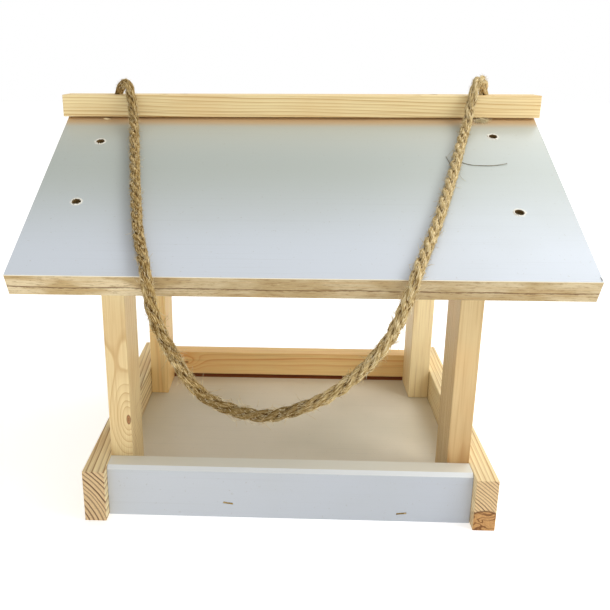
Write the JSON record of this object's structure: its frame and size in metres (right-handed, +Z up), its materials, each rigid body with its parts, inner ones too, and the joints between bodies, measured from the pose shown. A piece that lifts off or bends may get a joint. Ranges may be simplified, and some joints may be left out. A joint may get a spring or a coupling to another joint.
{
  "type": "hanging bird feeder",
  "caption": "Hanging bird feeder: open slat tray with a white floor, corner posts, gable roof of two white laminated boards, ridge batten and a looped jute rope.",
  "frame": {"origin": "under the middle of the roof, on the surface that the tray stands on", "axes": "+X to the right along the ridge, +Y to the back, +Z up; the white front board faces -Y"},
  "size_m": [0.449, 0.4436, 0.3842],
  "materials": {
    "pine_rails": "planed raw pine",
    "pine_posts": "planed raw pine",
    "pine_rafters": "planed raw pine",
    "pine_batten": "planed raw pine",
    "front_laminate": "board with a white satin laminate and a bevelled top edge",
    "floor_laminate": "board with a cream satin laminate",
    "roof_laminate": "board with a white semi-gloss laminate and raw sawn edges",
    "screw_steel": "dark phosphated steel",
    "staple_steel": "brass-coloured steel wire",
    "jute_rope": "twisted hairy jute"
  },
  "bodies": {
    "root": {"side_rail_left": "pine_rails", "side_rail_right": "pine_rails", "rear_rail": "pine_rails", "post_front_left": "pine_posts", "post_rear_left": "pine_posts", "post_front_right": "pine_posts", "post_rear_right": "pine_posts", "rafter_front_left": "pine_rafters", "rafter_rear_left": "pine_rafters", "rafter_front_right": "pine_rafters", "rafter_rear_right": "pine_rafters", "ridge_batten": "pine_batten", "front_board": "front_laminate", "floor_board": "floor_laminate", "roof_panel_front": "roof_laminate", "roof_panel_rear": "roof_laminate", "screw_roof_front_left_upper": "screw_steel", "screw_roof_front_left_lower": "screw_steel", "screw_roof_front_right_upper": "screw_steel", "screw_roof_front_right_lower": "screw_steel", "screw_roof_rear_left_upper": "screw_steel", "screw_roof_rear_left_lower": "screw_steel", "screw_roof_rear_right_upper": "screw_steel", "screw_roof_rear_right_lower": "screw_steel", "screw_post_front_left": "screw_steel", "screw_rafter_front_left": "screw_steel", "screw_post_rear_left": "screw_steel", "screw_rafter_rear_left": "screw_steel", "screw_post_front_right": "screw_steel", "screw_rafter_front_right": "screw_steel", "screw_post_rear_right": "screw_steel", "screw_rafter_rear_right": "screw_steel", "screw_front_board_left": "screw_steel", "screw_rear_rail_left": "screw_steel", "screw_front_board_right": "screw_steel", "screw_rear_rail_right": "screw_steel", "screw_batten_front_left": "screw_steel", "screw_batten_rear_left": "screw_steel", "screw_batten_front_right": "screw_steel", "screw_batten_rear_right": "screw_steel", "staple_front_left": "staple_steel", "staple_front_right": "staple_steel", "staple_side_front_left": "staple_steel", "staple_side_rear_left": "staple_steel", "staple_side_front_right": "staple_steel", "staple_side_rear_right": "staple_steel", "hanging_rope": "jute_rope", "rope_knot_left": "jute_rope", "rope_knot_right": "jute_rope"}
  },
  "joints": []
}
